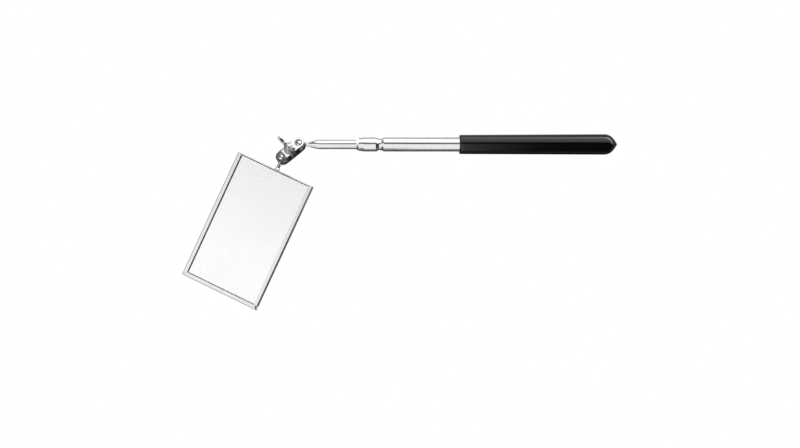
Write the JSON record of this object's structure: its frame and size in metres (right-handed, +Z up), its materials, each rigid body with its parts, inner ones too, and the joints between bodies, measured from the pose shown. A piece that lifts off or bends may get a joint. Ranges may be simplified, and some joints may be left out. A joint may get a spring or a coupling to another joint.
{
  "type": "telescoping inspection mirror",
  "caption": "Rectangular framed inspection mirror on a double ball joint, carried by a telescoping rod with a vinyl-gripped tube handle.",
  "frame": {"origin": "middle of the tool's footprint, on the surface it lies on", "axes": "+X along the handle from the mirror to the grip's end, +Z up and out of the mirror's face"},
  "size_m": [0.294, 0.1184, 0.023],
  "materials": {
    "grip_vinyl": "glossy dipped vinyl",
    "outer_tube_chrome": "polished",
    "bush_nylon": "natural nylon",
    "plug_nylon": "natural nylon",
    "friction_brass": "rolled",
    "inner_tube_chrome": "polished",
    "tail_plug_brass": "turned",
    "shank_steel": "turned, plated",
    "rod_ball_chrome": "polished",
    "front_plate_chrome": "polished stamping",
    "rear_plate_chrome": "polished stamping",
    "screw_steel": "bright plated",
    "washer_steel": "bright plated",
    "spring_washer_steel": "bright plated",
    "wing_nut_steel": "bright plated",
    "mirror_ball_chrome": "polished",
    "stem_chrome": "polished",
    "frame_chrome": "bright plated sheet",
    "mirror_silvered": "silvered float glass",
    "backing_card": "grey board"
  },
  "bodies": {
    "handle": {"handle_grip": "grip_vinyl", "outer_tube": "outer_tube_chrome", "mouth_bush": "bush_nylon", "tube_end_plug": "plug_nylon"},
    "tail_spring": {"tail_friction_spring": "friction_brass"},
    "inner_rod": {"inner_tube": "inner_tube_chrome", "tail_plug": "tail_plug_brass", "rod_ball_shank": "shank_steel"},
    "rod_ball": {"rod_ball": "rod_ball_chrome"},
    "clamp": {"front_plate": "front_plate_chrome", "rear_plate": "rear_plate_chrome", "clamp_screw": "screw_steel"},
    "washers": {"flat_washer": "washer_steel", "spring_washer": "spring_washer_steel"},
    "wing_nut": {"wing_nut": "wing_nut_steel"},
    "mirror_ball": {"mirror_ball": "mirror_ball_chrome"},
    "mirror_stem": {"mirror_stem": "stem_chrome"},
    "mirror": {"mirror_frame": "frame_chrome", "mirror_glass": "mirror_silvered", "backing_pad": "backing_card"}
  },
  "joints": [
    {"name": "rod_slide", "type": "slide", "parent": "handle", "child": "tail_spring", "axis": [-1, 0, 0], "range_m": [-0.024, 0.096]},
    {"name": "rod_spin", "type": "hinge", "parent": "tail_spring", "child": "inner_rod", "pos_m": [-0.06712, 0.05234, 0.00687], "axis": [-1, 0, 0], "continuous": true},
    {"name": "rod_tilt", "type": "hinge", "parent": "inner_rod", "child": "rod_ball", "pos_m": [-0.06712, 0.05234, 0.00687], "axis": [0, 0.9325, -0.3611], "range_deg": [-9, 25]},
    {"name": "clamp_swing", "type": "hinge", "parent": "rod_ball", "child": "clamp", "pos_m": [-0.06712, 0.05234, 0.00687], "axis": [-0.1554, 0.3567, 0.9212], "range_deg": [-135, 55]},
    {"name": "nut_travel", "type": "slide", "parent": "clamp", "child": "washers", "axis": [-0.1554, 0.3567, 0.9212], "range_m": [0, 0.0014]},
    {"name": "wing_nut_turn", "type": "hinge", "parent": "washers", "child": "wing_nut", "pos_m": [-0.07281, 0.04767, 0.00772], "axis": [-0.1554, 0.3567, 0.9212], "range_deg": [0, 720.1]},
    {"name": "mirror_swing", "type": "hinge", "parent": "clamp", "child": "mirror_ball", "pos_m": [-0.0785, 0.043, 0.00857], "axis": [0.1554, -0.3567, -0.9212], "range_deg": [-45, 120]},
    {"name": "mirror_tilt", "type": "hinge", "parent": "mirror_ball", "child": "mirror_stem", "pos_m": [-0.0785, 0.043, 0.00857], "axis": [-0.8575, 0.4143, -0.3051], "range_deg": [0, 34]},
    {"name": "mirror_spin", "type": "hinge", "parent": "mirror_stem", "child": "mirror", "pos_m": [-0.0785, 0.043, 0.00857], "axis": [-0.4237, -0.905, -0.0382], "continuous": true}
  ],
  "couplings": [
    {"joint": "wing_nut_turn", "follows": "nut_travel", "rad_per_m": 8976}
  ]
}
